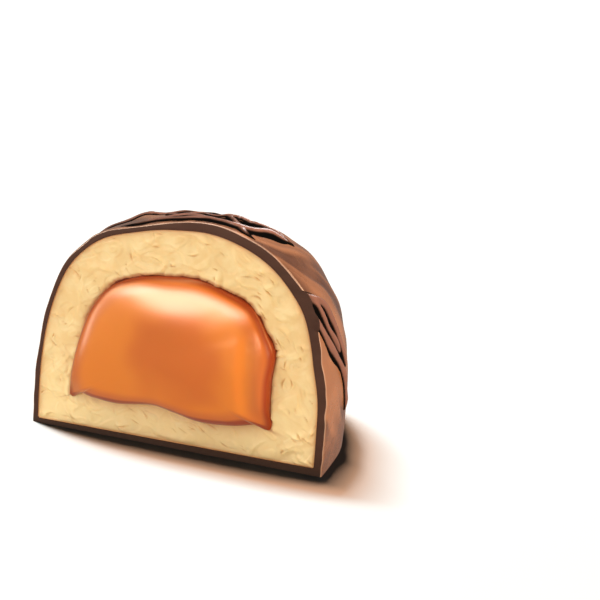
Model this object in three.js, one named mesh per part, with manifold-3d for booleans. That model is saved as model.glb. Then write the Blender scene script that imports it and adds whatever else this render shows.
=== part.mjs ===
// Half of a filled chocolate: a domed milk chocolate, cut straight down through its middle, with
// strands of dark chocolate over it, a pale cream inside and a glossy caramel core in the cream.
// Millimetres, +Z up. The cut face looks along -Y, and the piece stands on its flat chocolate base.
import * as THREE from "three";
import { mergeVertices } from "three/addons/utils/BufferGeometryUtils.js";
import Module from "manifold-3d";

const wasm = await Module();
wasm.setup();

// ---------------------------------------------------------------- driving dimensions
// The whole piece is a squarish dome. halfWidth is half its width along the cut, depth is how far it
// goes back from its middle, and height is its top. squareness shapes the profile and plan the outline
// on the floor (2 is an ellipse, more is squarer). lean moves the dome to +X by that
// share of the height, as the real one isn't quite upright.
const OUTSIDE = { halfWidth: 16.04, depth: 20.7, height: 23.7, squareness: 2.75, plan: 2.85, lean: 0.0985 };
const INSIDE = { halfWidth: 15.3, depth: 19.8, height: 22.85, squareness: 2.78, plan: 2.85, lean: 0.086 };
const CUT_BEHIND_MIDDLE = 3.7; // the knife went in this far behind the dome's middle
const INSIDE_SHIFT = -0.1; // the coating is thinner on the left wall than on the right one
const INSIDE_SWELL = 0.65; // how much of the outside's swellings the inside follows
const BASE_THICKNESS = { left: 0.5, right: 0.8 };
const GAP = 0.3; // between neighbouring foods

// Low swellings and dips of the outline along the cut, by their place on the arch (0 is +X, 90 is
// straight up), each with its height and its spread. They fade out behind the cut.
const SWELLINGS = [
  { at: 26, height: 0.13, spread: 6 },
  { at: 38, height: -0.2, spread: 5 },
  { at: 52, height: 0.28, spread: 5 },
  { at: 84, height: 0.42, spread: 8 },
  { at: 104, height: -0.5, spread: 7 },
  { at: 125, height: 0.2, spread: 6 },
];
const SWELLING_FADE = 5; // how far behind the cut they are gone

// The long soft folds that run down the outside, and the shorter ones that cross them at the top.
const FOLD_HEIGHT = 0.2;
const FOLDS_ROUND = 12;
const CREST_HEIGHT = 0.14;
const CREST_PITCH = 3.4;

// Dark chocolate strands: half an ellipse over the coating, and a root that is sunk in it.
const STRAND = { root: 0.5, sunk: 0.12, step: 1.3, sides: 8 };
const TAIL = { share: 0.2, tip: 0.2 }; // a tail narrows to a tip over that share of its strand
const CUT_PRESS = { share: 0.5, reach: 1.2 }; // the knife pressed the strands flatter beside the cut

// Where the strands run over the dome, as [angle round it, angle up from the base]: 0 is +X and 90
// is straight back. A strand starts and ends in front of the cut, or in a thin tail.
const STRANDS = {
  rightUpper: { width: 1.2, height: 0.32, tails: "end",
    route: [[8, 57], [13.9, 55.5], [19.3, 52.6], [24.7, 48.4], [27, 43.9], [29.2, 38.5], [31.1, 32.5],
      [31.2, 27]] },
  rightMiddle: { width: 1, height: 0.3, tails: "end",
    route: [[9, 56], [15, 53.2], [18.7, 50.8], [19.8, 48.4], [22.2, 43.8], [25.8, 38.3], [28.6, 33]] },
  rightLower: { width: 1.25, height: 0.34, tails: "end",
    route: [[8, 52], [12.9, 49.4], [16.3, 45.8], [19.8, 41.1], [23.7, 35.9], [27.7, 28.8], [31, 20.5],
      [33.4, 13]] },
  topBack: { width: 1.3, height: 0.42, tails: "both",
    route: [[150, 70], [138, 73.5], [124, 75], [108, 74], [95, 72], [84, 70.5], [73.5, 68.7], [64.7, 67],
      [56, 64.6], [50, 61.7], [43, 59]] },
  topFront: { width: 1.25, height: 0.42, tails: "both",
    route: [[139, 71.5], [128, 75], [116, 77], [103, 78], [90, 77.8], [74, 77], [61, 76], [51, 74.5],
      [46, 72], [46, 69.5], [48.5, 66.5], [48.5, 64.2], [46, 62], [43, 59]] },
  topCross: { width: 1.1, height: 0.4, tails: "start",
    route: [[92, 63], [84, 67], [75, 70], [66, 72], [53.5, 73.2], [43.7, 73.1], [34, 72.3], [24, 70]] },
  topShort: { width: 1, height: 0.36, tails: "both",
    route: [[120, 69], [108, 72.5], [97, 74.8], [84, 76], [68, 77], [54, 76]] },
  backUpper: { width: 1.7, height: 0.45, tails: "both",
    route: [[151, 15], [156, 34], [155, 48], [142, 57], [118, 60], [92, 59], [74, 52], [63, 43], [58, 32]] },
  backMiddle: { width: 1.6, height: 0.45, tails: "both",
    route: [[150, 13], [145, 30], [136, 42], [118, 50], [98, 49], [84, 41], [77, 28], [74, 12]] },
  backLower: { width: 1.5, height: 0.42, tails: "both",
    route: [[74, 10], [88, 25], [104, 33], [118, 30], [128, 16]] },
};

// The caramel's outline on the cut face, as [x, z] from its lower left corner over the top.
const CARAMEL_OUTLINE = [
  [-11.1, 3.8], [-10.7, 6.5], [-9.6, 10.3], [-8.2, 13.5], [-6, 16], [-2.9, 17.4], [0.3, 17.9], [3.5, 18],
  [6.6, 17.1], [8.9, 16], [10.3, 13.8], [11.1, 12], [10.7, 9.2], [10.5, 6.2], [10.5, 4.1], [9.3, 4.5],
  [7, 4.1], [3.7, 3.9], [1, 4.4], [-1.2, 4.8], [-5.7, 4.2], [-8.5, 4.4], [-10.1, 4.5],
];
const CARAMEL_MIDDLE = { x: 0, z: 10.6 };
const CARAMEL_BULGE = 2.2; // how far the soft caramel swells out of the cut
const CARAMEL_DEPTH = 11.4;
// How square its profile is: the front leans back along the top edge and is full along the others.
const CARAMEL_ROUNDING = { top: 1.7, low: 3, back: 2.3 };
const CARAMEL_SOFTENING = 0.07; // share of the outline over which its corners fade towards the middle
const GROOVE = 0.15; // the extra gap above the caramel, under a ragged edge of cream
const RAGGED = 0.1;

const CREAM_RELIEF = 0.13; // the height of the torn flakes on the cream's cut face
const CREAM_CELL = 1.05;

// The middle of the footprint, from the middle of the cut's base line. The group moves there, so
// that the origin is on the floor, under the middle of the piece.
const FOOTPRINT_MIDDLE = { x: 0.3, y: 7.5 };

// Grid fineness of the round bodies: steps round the arch and from the back to the front.
const DOME_GRID = { around: 94, along: 43 };
const CREAM_GRID = { around: 62, along: 29 };
const CARAMEL_GRID = { around: 60, along: 20 };

// ---------------------------------------------------------------- solids from geometries
function solid(geometry) {
  const bare = geometry.clone();
  bare.deleteAttribute("normal");
  bare.deleteAttribute("uv");
  const merged = mergeVertices(bare, 1e-4);
  const mesh = new wasm.Mesh({
    numProp: 3,
    vertProperties: new Float32Array(merged.attributes.position.array),
    triVerts: new Uint32Array(merged.index.array),
  });
  return new wasm.Manifold(mesh);
}

function geometryOf(body) {
  const mesh = body.getMesh();
  const geometry = new THREE.BufferGeometry();
  geometry.setAttribute("position", new THREE.BufferAttribute(mesh.vertProperties, mesh.numProp));
  geometry.setIndex(new THREE.BufferAttribute(mesh.triVerts, 1));
  geometry.computeVertexNormals();
  return geometry;
}

// Moves every vertex of a geometry to the place that a function gives for it.
function reshape(geometry, place) {
  const position = geometry.attributes.position;
  const vertex = new THREE.Vector3();
  for (let i = 0; i < position.count; i += 1) {
    const moved = place(vertex.fromBufferAttribute(position, i).clone());
    position.setXYZ(i, moved.x, moved.y, moved.z);
  }
  return geometry;
}

// A unit ball whose poles lie along Y and whose seams miss the cut plane and the floor.
function unitBall(grid) {
  const halfStep = Math.PI / grid.around;
  return new THREE.SphereGeometry(1, grid.around, grid.along).rotateY(halfStep);
}

function block(lowest, highest, tilt = 0) {
  const size = new THREE.Vector3().subVectors(highest, lowest);
  const middle = new THREE.Vector3().addVectors(highest, lowest).multiplyScalar(0.5);
  const box = new THREE.BoxGeometry(size.x, size.y, size.z).translate(middle.x, middle.y, middle.z);
  return solid(box.rotateY(tilt));
}

// ---------------------------------------------------------------- the dome's surface
// The unit direction at an angle round the dome and an angle up from its base, in degrees.
function heading(round, up) {
  const [a, b] = [THREE.MathUtils.degToRad(round), THREE.MathUtils.degToRad(up)];
  return new THREE.Vector3(Math.cos(b) * Math.cos(a), Math.cos(b) * Math.sin(a), Math.sin(b));
}

function swelling(direction, point) {
  const arch = THREE.MathUtils.radToDeg(Math.atan2(Math.abs(direction.z), direction.x));
  const fade = Math.exp(-((Math.max(0, point.y) / SWELLING_FADE) ** 2));
  const bump = ({ at, height, spread }) => height * Math.exp(-(((arch - at) / spread) ** 2));
  return fade * SWELLINGS.reduce((sum, one) => sum + bump(one), 0);
}

// The inner sines only make the folds wander and differ in strength, as poured chocolate does.
function folds(direction, point) {
  const round = Math.atan2(Math.abs(direction.y), direction.x);
  const up = Math.asin(Math.min(1, Math.abs(direction.z)));
  const phase = FOLDS_ROUND * round + 1.6 * Math.sin(2.3 * up + 2 * round) + 0.9 * Math.sin(5 * round + 1);
  const strength = 0.65 + 0.35 * Math.sin(3.1 * round + 2);
  const side = FOLD_HEIGHT * strength * Math.sin(phase) * Math.cos(up) ** 0.7;
  const across = (2 * Math.PI * (point.x + 0.45 * point.y)) / CREST_PITCH;
  const crest = CREST_HEIGHT * Math.sin(across + 1.4 * Math.sin(0.5 * point.y)) * Math.sin(up) ** 3;
  const behindCut = 1 - Math.exp(-((Math.max(0, point.y) / SWELLING_FADE) ** 2));
  return behindCut * (side + crest);
}

// How far the smooth dome reaches in a direction from the middle of its base.
function reachOf(direction, size) {
  const { halfWidth, depth, height, squareness, plan } = size;
  const outline = (Math.abs(direction.x) / halfWidth) ** plan + (Math.abs(direction.y) / depth) ** plan;
  const profile = outline ** (squareness / plan) + (Math.abs(direction.z) / height) ** squareness;
  return profile ** (-1 / squareness);
}

// That place, measured from the middle of the cut's base line.
function placeOf(direction, reach, size) {
  const point = direction.clone().multiplyScalar(reach);
  point.x += size.lean * Math.abs(point.z);
  point.y -= CUT_BEHIND_MIDDLE;
  return point;
}

function outsidePoint(direction) {
  const reach = reachOf(direction, OUTSIDE);
  const smooth = placeOf(direction, reach, OUTSIDE);
  return placeOf(direction, reach + swelling(direction, smooth) + folds(direction, smooth), OUTSIDE);
}

// The inside of the coating, or with a gap the outside of the cream that fills it.
function insidePoint(direction, gap = 0) {
  const size = { ...INSIDE };
  for (const side of ["halfWidth", "depth", "height"]) size[side] -= gap;
  const reach = reachOf(direction, size);
  const smooth = placeOf(direction, reach, size);
  const point = placeOf(direction, reach + INSIDE_SWELL * swelling(direction, smooth), size);
  point.x += INSIDE_SHIFT;
  return point;
}

// The smooth dome's outward direction at a heading, from three neighbouring places.
function outward(direction) {
  const small = 0.01;
  const sideways = new THREE.Vector3(-direction.y, direction.x, 0).normalize();
  const upwards = new THREE.Vector3().crossVectors(direction, sideways).normalize();
  const at = (d) => placeOf(d, reachOf(d, OUTSIDE), OUTSIDE);
  const here = at(direction);
  const a = at(direction.clone().addScaledVector(sideways, small).normalize()).sub(here);
  const b = at(direction.clone().addScaledVector(upwards, small).normalize()).sub(here);
  return a.cross(b).normalize();
}

// ---------------------------------------------------------------- strands
function taper(t, tails) {
  const narrowed = (s) => TAIL.tip + (1 - TAIL.tip) * Math.sqrt(THREE.MathUtils.clamp(s / TAIL.share, 0, 1));
  const atStart = tails === "end" ? 1 : narrowed(t);
  const atEnd = tails === "start" ? 1 : narrowed(1 - t);
  return Math.min(atStart, atEnd);
}

// A closed bar bent along its route over the dome.
function strand({ width, height, tails, route }) {
  const headings = new THREE.CatmullRomCurve3(route.map((one) => heading(...one)), false, "centripetal");
  const steps = Math.ceil((headings.getLength() * OUTSIDE.height) / STRAND.step);
  const bar = new THREE.CylinderGeometry(1, 1, 1, STRAND.sides, steps);
  const onDome = (t) => outsidePoint(headings.getPointAt(THREE.MathUtils.clamp(t, 0, 1)).normalize());
  return solid(reshape(bar, ({ x, y, z }) => {
    const t = THREE.MathUtils.clamp(y + 0.5, 0, 1);
    const centre = onDome(t);
    const along = onDome(t + 0.5 / steps).sub(onDome(t - 0.5 / steps)).normalize();
    const out = outward(headings.getPointAt(t).normalize());
    const side = new THREE.Vector3().crossVectors(along, out).normalize();
    const pressed = 1 - CUT_PRESS.share * Math.exp(-((centre.y / CUT_PRESS.reach) ** 2));
    const size = taper(t, tails);
    const lift = z > 0 ? z * (height * pressed + STRAND.sunk) : z * STRAND.root;
    centre.addScaledVector(side, (x * size * width) / 2);
    return centre.addScaledVector(out, lift * size - STRAND.sunk);
  }));
}

// ---------------------------------------------------------------- coating
const FAR = 40;
const behindCut = block(new THREE.Vector3(-FAR, 0, 0), new THREE.Vector3(FAR, FAR, FAR));

// The room above the base: its floor rises from the left thickness to the right one.
function aboveBase(extra) {
  const { left, right } = BASE_THICKNESS;
  const tilt = -Math.atan((right - left) / (2 * OUTSIDE.halfWidth));
  const floor = (left + right) / 2 + extra;
  return block(new THREE.Vector3(-FAR, -FAR, floor), new THREE.Vector3(FAR, FAR, FAR), tilt);
}

function coating() {
  let body = solid(reshape(unitBall(DOME_GRID), outsidePoint));
  for (const one of Object.values(STRANDS)) body = body.add(strand(one));
  const hollow = solid(reshape(unitBall(DOME_GRID), (d) => insidePoint(d))).intersect(aboveBase(0));
  return body.subtract(hollow).intersect(behindCut);
}

// ---------------------------------------------------------------- caramel and its pocket
const caramelOutline = new THREE.CatmullRomCurve3(
  CARAMEL_OUTLINE.map(([x, z]) => new THREE.Vector3(x, 0, z)), true, "centripetal");

// The outline with its corners rounded off: the mean of five places on it.
function softOutline(t) {
  const mean = new THREE.Vector3();
  for (const step of [-1, -0.5, 0, 0.5, 1]) {
    mean.add(caramelOutline.getPoint(THREE.MathUtils.euclideanModulo(t + step * CARAMEL_SOFTENING, 1)));
  }
  return mean.multiplyScalar(1 / 5);
}

// How squarely the caramel's front is rounded at a place on its edge: by how far the edge looks up.
function frontRounding(t) {
  const looksUp = (at) => caramelOutline.getTangent(THREE.MathUtils.euclideanModulo(at, 1)).x;
  const mean = [-0.03, -0.015, 0, 0.015, 0.03].reduce((sum, step) => sum + looksUp(t + step) / 5, 0);
  const { top, low } = CARAMEL_ROUNDING;
  return THREE.MathUtils.lerp(low, top, THREE.MathUtils.smoothstep(mean, -0.1, 0.75));
}

// A body on the caramel's outline: its front swells out of the cut and its back is a deep dome.
// widen(t) moves the outline outwards, extra adds to the depth, and rounding(t) shapes the front.
function coreBody(widen, extra, bulge, rounding) {
  const middle = new THREE.Vector3(CARAMEL_MIDDLE.x, 0, CARAMEL_MIDDLE.z);
  const power = 2 / CARAMEL_ROUNDING.back;
  const shape = ({ x, y, z }) => {
    const t = THREE.MathUtils.euclideanModulo(0.5 - Math.atan2(z, x) / (2 * Math.PI), 1);
    const out = Math.min(1, Math.hypot(x, z)) ** power;
    const along = caramelOutline.getTangent(t);
    const edge = softOutline(t).lerp(caramelOutline.getPoint(t), out ** 4).sub(middle);
    edge.add(new THREE.Vector3(-along.z, 0, along.x).multiplyScalar(widen(t)));
    const place = middle.clone().addScaledVector(edge, out);
    const nearEdge = THREE.MathUtils.smoothstep(out, 0.1, 0.8);
    const square = THREE.MathUtils.lerp(CARAMEL_ROUNDING.back, rounding(t), nearEdge);
    const arch = Math.max(0, 1 - out ** square) ** (1 / square);
    place.y = y < 0 ? -bulge * arch : (CARAMEL_DEPTH + extra) * y ** power;
    return place;
  };
  return solid(reshape(unitBall(CARAMEL_GRID), shape));
}

const caramel = () => coreBody(() => 0, 0, CARAMEL_BULGE, frontRounding);

function pocket() {
  const wobble = (t) => RAGGED * (Math.sin(46 * Math.PI * t) + 0.6 * Math.sin(86 * Math.PI * t + 1));
  const overTop = (t) => Math.max(0, Math.sin(2 * Math.PI * (t - 0.12))) ** 0.5;
  const widen = (t) => GAP + overTop(t) * (GROOVE + wobble(t));
  const mouth = 8; // well past the cut, so that the pocket's mouth is straight and open
  return coreBody(widen, GAP, mouth, () => CARAMEL_ROUNDING.low);
}

// ---------------------------------------------------------------- cream
// The cut tore the cream a little: low flakes and pits on a grid of cells.
function flakes(x, z) {
  const drift = Math.sin(0.9 * x + 1.7 * Math.sin(0.6 * z)) + Math.sin(1.3 * z - 0.5 * x + 2);
  const small = Math.sin(2.6 * x + 2.1 * z + 1.2 * Math.sin(1.1 * x)) * Math.sin(3 * z - 1.2 * x);
  return CREAM_RELIEF * (0.3 * drift + 0.5 * small);
}

function cream() {
  const filling = solid(reshape(unitBall(CREAM_GRID), (d) => insidePoint(d, GAP)));
  const [width, thickness, height] = [36, 30, 26]; // covers all that is in front of the cut
  const [across, upwards] = [Math.round(width / CREAM_CELL), Math.round(height / CREAM_CELL)];
  const cutter = new THREE.BoxGeometry(width, thickness, height, across, 1, upwards);
  cutter.translate(0, -thickness / 2, height / 2);
  const torn = reshape(cutter, (v) => (v.y < -1 ? v : v.setY(flakes(v.x, v.z))));
  return filling.intersect(aboveBase(GAP)).subtract(solid(torn)).subtract(pocket());
}

// ---------------------------------------------------------------- the piece
function food(name, body, look) {
  const mesh = new THREE.Mesh(geometryOf(body), new THREE.MeshStandardMaterial({ metalness: 0, ...look }));
  mesh.name = name;
  return mesh;
}

const group = new THREE.Group();
group.add(food("coating", coating(), { color: 0x8e5a3c, roughness: 0.35 }));
group.add(food("cream", cream(), { color: 0xf3d495, roughness: 0.7 }));
group.add(food("caramel", caramel(), { color: 0xd87537, roughness: 0.15 }));
group.position.set(-FOOTPRINT_MIDDLE.x, -FOOTPRINT_MIDDLE.y, 0);

export default group;
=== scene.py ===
# %% [markdown]
# # Half of a filled chocolate
# A domed milk chocolate has been cut through with a knife. The lesson builds its four foods, each in
# the place that the CAD model gives it: the thin milk coating, the strands of dark chocolate that were
# drizzled over it, the pale cream inside, and the caramel that swells out of the cream.
# The CAD model is loaded first, because every piece rides on its body and stays in its frame.

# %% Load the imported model
import math

import bpy
import numpy as np
from mathutils import Matrix, Vector


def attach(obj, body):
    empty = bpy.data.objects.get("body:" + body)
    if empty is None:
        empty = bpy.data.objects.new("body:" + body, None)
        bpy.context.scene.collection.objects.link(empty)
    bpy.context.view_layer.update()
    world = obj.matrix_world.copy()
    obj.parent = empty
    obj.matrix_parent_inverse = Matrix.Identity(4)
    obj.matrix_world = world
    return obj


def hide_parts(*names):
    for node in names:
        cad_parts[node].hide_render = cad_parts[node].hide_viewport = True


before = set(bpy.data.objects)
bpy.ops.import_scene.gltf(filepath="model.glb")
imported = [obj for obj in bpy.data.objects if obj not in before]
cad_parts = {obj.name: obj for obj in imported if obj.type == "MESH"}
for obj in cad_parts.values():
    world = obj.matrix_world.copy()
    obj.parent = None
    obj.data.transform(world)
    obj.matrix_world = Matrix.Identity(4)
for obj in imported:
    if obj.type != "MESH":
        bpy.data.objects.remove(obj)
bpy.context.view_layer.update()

# %% [markdown]
# ## Units and the piece's own frame
# Blender works in metres, and a chocolate is easier to think of in millimetres. All shapes below are
# worked out in millimetres from the middle of the cut's base line: X runs along the cut, Y goes back
# into the chocolate and Z is up. Small functions move whole arrays of places between the two.

# %% Places in millimetres
MM = 0.001
CUT_ORIGIN = np.array([-0.3, -7.5, 0.0])


def in_scene(places):
    """Millimetres from the middle of the cut's base line, as metres in the scene."""
    return (np.asarray(places, float) + CUT_ORIGIN) * MM


def read_places(piece):
    """A piece's vertices in metres, one row each."""
    flat = np.empty(3 * len(piece.data.vertices))
    piece.data.vertices.foreach_get("co", flat)
    return flat.reshape(-1, 3)


def from_cut(piece):
    """A piece's vertices in millimetres from the middle of the cut's base line."""
    return read_places(piece) / MM - CUT_ORIGIN


def write_places(piece, places):
    """Moves a piece's vertices to places in metres."""
    piece.data.vertices.foreach_set("co", np.ascontiguousarray(places, float).ravel())
    piece.data.update()


print("middle of the cut's base line in metres:", in_scene((0, 0, 0)))

# %% [markdown]
# ## Camera
# The photograph looks down on the cut from its right, through a long lens. Two angles, a distance and
# the pixel of the cut's middle place it, so it needs no shift, and its matrix is built from its
# right, up and backward directions.

# %% Camera
LENS, SENSOR, PIXELS = 108.0, 36.0, 600
PIXELS_PER_UNIT = LENS / SENSOR * PIXELS
CAMERA_ROUND, CAMERA_DOWN = math.radians(23.658), math.radians(21.0)
CAMERA_DISTANCE = 177.625
CUT_ORIGIN_PIXEL = (171.779, 448.193)
CLIP_NEAR, CLIP_FAR = 0.01, 20

camera_right = np.array([math.cos(CAMERA_ROUND), math.sin(CAMERA_ROUND), 0])
camera_forward = np.array([-math.sin(CAMERA_ROUND) * math.cos(CAMERA_DOWN),
                           math.cos(CAMERA_ROUND) * math.cos(CAMERA_DOWN), -math.sin(CAMERA_DOWN)])
camera_up = np.cross(camera_right, camera_forward)
beside = (CUT_ORIGIN_PIXEL[0] - PIXELS / 2) / PIXELS_PER_UNIT * CAMERA_DISTANCE
above = (PIXELS / 2 - CUT_ORIGIN_PIXEL[1]) / PIXELS_PER_UNIT * CAMERA_DISTANCE
camera_place = -(camera_right * beside + camera_up * above + camera_forward * CAMERA_DISTANCE)

camera_data = bpy.data.cameras.new("camera")
camera_data.lens, camera_data.sensor_width = LENS, SENSOR
camera_data.clip_start, camera_data.clip_end = CLIP_NEAR, CLIP_FAR
camera = bpy.data.objects.new("camera", camera_data)
bpy.context.scene.collection.objects.link(camera)
turn = Matrix((camera_right, camera_up, -camera_forward)).transposed().to_4x4()
camera.matrix_world = Matrix.Translation(in_scene(camera_place)) @ turn
bpy.context.scene.camera = camera
print("camera at", [round(c, 4) for c in camera.matrix_world.translation])

# %% [markdown]
# ## Materials as expressions
# A material is a web of small nodes. `Wire` holds one node's output and lets Python's own operators add
# the Math nodes, so that `1 - mask` or `noise * 0.5` reads as it would on paper. `Finish` is one
# material: its `add` method makes any node, and the methods after it name the ones that are used most.
# Further down, each finish is called `look` while its own cell builds it.

# %% Wires
class Wire:
    """An output socket that numbers and other wires can be added to, taken from or multiplied by."""

    def __init__(self, finish, socket):
        self.finish, self.socket = finish, socket

    def calculate(self, operation, first, second):
        return self.finish.add("ShaderNodeMath", {"operation": operation}, {0: first, 1: second})

    def __add__(self, other):
        return self.calculate("ADD", self, other)

    __radd__ = __add__

    def __sub__(self, other):
        return self.calculate("SUBTRACT", self, other)

    def __rsub__(self, other):
        return self.calculate("SUBTRACT", other, self)

    def __mul__(self, other):
        return self.calculate("MULTIPLY", self, other)

    __rmul__ = __mul__


# %% Finishes
def linear(red, green, blue):
    """A colour as a picture holds it, 0 to 255, as the light that Blender counts with."""
    parts = [c / 255 for c in (red, green, blue)]
    return (*[c / 12.92 if c <= 0.04045 else ((c + 0.055) / 1.055) ** 2.4 for c in parts], 1.0)


class Finish:
    """One material, with short ways to add its nodes."""

    def __init__(self, name):
        self.material = bpy.data.materials.new(name)
        self.material.use_nodes = True
        self.nodes = self.material.node_tree.nodes
        self.links = self.material.node_tree.links
        self.nodes.clear()
        self.shader = self.nodes.new("ShaderNodeBsdfPrincipled")
        out = self.nodes.new("ShaderNodeOutputMaterial")
        self.links.new(self.shader.outputs[0], out.inputs["Surface"])

    def join(self, node, sockets):
        """Gives a node's sockets, by name or number, their values or links."""
        for name, value in sockets.items():
            if isinstance(name, int):
                socket = node.inputs[name]
            else:
                socket = next(s for s in node.inputs if s.name == name and s.enabled)
            if isinstance(value, Wire):
                self.links.new(value.socket, socket)
            else:
                socket.default_value = value

    def add(self, kind, settings, sockets, out=0):
        """Any node: its settings first, then its sockets. out names or counts the output used."""
        node = self.nodes.new(kind)
        for name, value in settings.items():
            setattr(node, name, value)
        self.join(node, sockets)
        shown = [s for s in node.outputs if s.enabled]
        found = shown[out] if isinstance(out, int) else next(s for s in shown if s.name == out)
        return Wire(self, found)

    def place(self):
        """Where a point of the piece is, in millimetres of the scene."""
        metres = self.add("ShaderNodeTexCoord", {}, {}, out="Object")
        return self.add("ShaderNodeVectorMath", {"operation": "SCALE"},
                        {"Vector": metres, "Scale": 1 / MM})

    def height_of(self, place):
        return self.add("ShaderNodeSeparateXYZ", {}, {"Vector": place}, out="Z")

    def marked(self, name):
        """The number that each vertex was given under this name."""
        return self.add("ShaderNodeAttribute", {"attribute_name": name}, {}, out="Fac")

    def stretched(self, place, scale, turn):
        return self.add("ShaderNodeMapping", {}, {"Vector": place, "Scale": scale, "Rotation": turn})

    def noise(self, place, size, detail):
        """Soft noise whose patches are about that many millimetres across."""
        return self.add("ShaderNodeTexNoise", {},
                        {"Vector": place, "Scale": 1 / size, "Detail": detail})

    def part(self, value, start, end, to_start=0.0, to_end=1.0):
        """0 where value is below start and 1 where it is above end, softly between."""
        return self.add("ShaderNodeMapRange", {"interpolation_type": "SMOOTHSTEP", "clamp": True},
                        {"Value": value, "From Min": start, "From Max": end, "To Min": to_start,
                         "To Max": to_end})

    def blend(self, share, first, second):
        """The first colour where share is 0, and the second where it is 1."""
        return self.add("ShaderNodeMix", {"data_type": "RGBA", "clamp_factor": True},
                        {"Factor": share, "A": first, "B": second})

    def bump(self, height, distance, strength):
        return self.add("ShaderNodeBump", {},
                        {"Height": height, "Distance": distance, "Strength": strength})

    def finish(self, **sockets):
        """Gives the shader its sockets, and says how many nodes the material has."""
        self.join(self.shader, {name.replace("_", " "): value for name, value in sockets.items()})
        print(self.material.name, "has", len(self.nodes), "nodes")


# %% [markdown]
# ## The dome
# The chocolate was poured over a squarish ball of cream. An ellipsoid with powers above 2 swells
# towards its corners and has just that shape, with the same numbers as the CAD model. The functions
# take whole arrays of directions from the dome's middle, which is much quicker than a loop.

# %% The dome's shape
OUTSIDE = dict(half_width=16.04, depth=20.7, height=23.7, squareness=2.75, plan=2.85, lean=0.0985)
CUT_BEHIND_MIDDLE = 3.7


def unit(vectors):
    return vectors / np.linalg.norm(vectors, axis=-1, keepdims=True)


def heading(round_, up):
    """Unit directions at angles round the dome and up from its base, in degrees."""
    a, b = np.radians(round_), np.radians(up)
    return np.stack([np.cos(b) * np.cos(a), np.cos(b) * np.sin(a), np.sin(b)], axis=-1)


def reach_of(direction, size):
    """How far the smooth dome reaches in a direction."""
    x, y, z = np.moveaxis(np.abs(direction), -1, 0)
    outline = (x / size["half_width"]) ** size["plan"] + (y / size["depth"]) ** size["plan"]
    profile = (outline ** (size["squareness"] / size["plan"])
               + (z / size["height"]) ** size["squareness"])
    return profile ** (-1 / size["squareness"])


def place_of(direction, reach, size):
    """The place at a reach, with the dome's lean, measured from the cut."""
    place = direction * reach[..., None]
    place[..., 0] += size["lean"] * np.abs(place[..., 2])
    place[..., 1] -= CUT_BEHIND_MIDDLE
    return place


top = heading(0, 90)
print("top of the smooth dome:", place_of(top, reach_of(top, OUTSIDE), OUTSIDE).round(2))

# %% [markdown]
# ## Swellings and folds
# A hand-dipped chocolate isn't even. Its outline at the cut has low swellings, each a bell curve over
# a few degrees of the arch. Further back the coating ran down in folds round the side and crests over
# the top: sine waves whose phase sways, so that they don't look turned on a lathe.

# %% Swellings and folds
SWELLINGS = [  # angle over the arch in degrees, height in mm, spread in degrees
    (26, 0.13, 6), (38, -0.2, 5), (52, 0.28, 5), (84, 0.42, 8), (104, -0.5, 7), (125, 0.2, 6),
]
FADE = 5.0
FOLD_HEIGHT, FOLDS_ROUND = 0.2, 12
CREST_HEIGHT, CREST_PITCH = 0.14, 3.4


def behind_cut(y, fade):
    """0 at the cut and in front of it, rising to 1 further back."""
    return 1 - np.exp(-((np.maximum(0, y) / fade) ** 2))


def swelling(direction, place):
    """The low swellings of the outline, which fade away behind the cut."""
    arch = np.degrees(np.arctan2(np.abs(direction[..., 2]), direction[..., 0]))
    bells = (height * np.exp(-(((arch - at) / spread) ** 2)) for at, height, spread in SWELLINGS)
    return np.exp(-((np.maximum(0, place[..., 1]) / FADE) ** 2)) * sum(bells)


def folds(direction, place):
    """Waves round the side and over the top. The numbers inside the sines make them irregular."""
    x, y = place[..., 0], place[..., 1]
    round_ = np.arctan2(np.abs(direction[..., 1]), direction[..., 0])
    up = np.arcsin(np.clip(np.abs(direction[..., 2]), 0, 1))
    phase = FOLDS_ROUND * round_ + 1.6 * np.sin(2.3 * up + 2 * round_) + 0.9 * np.sin(5 * round_ + 1)
    strength = 0.65 + 0.35 * np.sin(3.1 * round_ + 2)
    side = FOLD_HEIGHT * strength * np.sin(phase) * np.cos(up) ** 0.7
    across = 2 * np.pi * (x + 0.45 * y) / CREST_PITCH
    crest = CREST_HEIGHT * np.sin(across + 1.4 * np.sin(0.5 * y)) * np.sin(up) ** 3
    return behind_cut(y, FADE) * (side + crest)


def outside_reach(direction):
    reach = reach_of(direction, OUTSIDE)
    smooth = place_of(direction, reach, OUTSIDE)
    return reach + swelling(direction, smooth) + folds(direction, smooth)


def outside_place(direction):
    return place_of(direction, outside_reach(direction), OUTSIDE)


print("side of the dome at mid height:", outside_place(heading(0, 30)).round(2))

# %% [markdown]
# ## Seeded noise for shapes
# Food is uneven. `lattice` gives smooth random heights between -1 and 1 on a grid of cells of a chosen
# size. A seed picks the table of random numbers, so that every run of the script gives the same food.

# %% Noise for shapes
NOISE_TABLE = 64
KEEP_POSITIVE = 1000


def lattice(seed, u, v, cell):
    """Noise over two directions u and v. Each use has a seed of its own."""
    table = np.random.default_rng(seed).uniform(-1, 1, (NOISE_TABLE, NOISE_TABLE))
    u, v = np.asarray(u) / cell + KEEP_POSITIVE, np.asarray(v) / cell + KEEP_POSITIVE
    i, j = np.floor(u).astype(int), np.floor(v).astype(int)
    s, t = u - i, v - j
    s, t = s * s * (3 - 2 * s), t * t * (3 - 2 * t)

    def at(column, row):
        return table[column % NOISE_TABLE, row % NOISE_TABLE]

    low = at(i, j) * (1 - s) + at(i + 1, j) * s
    high = at(i, j + 1) * (1 - s) + at(i + 1, j + 1) * s
    return low * (1 - t) + high * t


def along_noise(seed, run, cell):
    """The same noise along one line."""
    return lattice(seed, run, 0 * run, cell)


def smooth_step(value, start, end):
    """0 below start, 1 above end, and a soft S between."""
    t = np.clip((value - start) / (end - start), 0, 1)
    return t * t * (3 - 2 * t)


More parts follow.
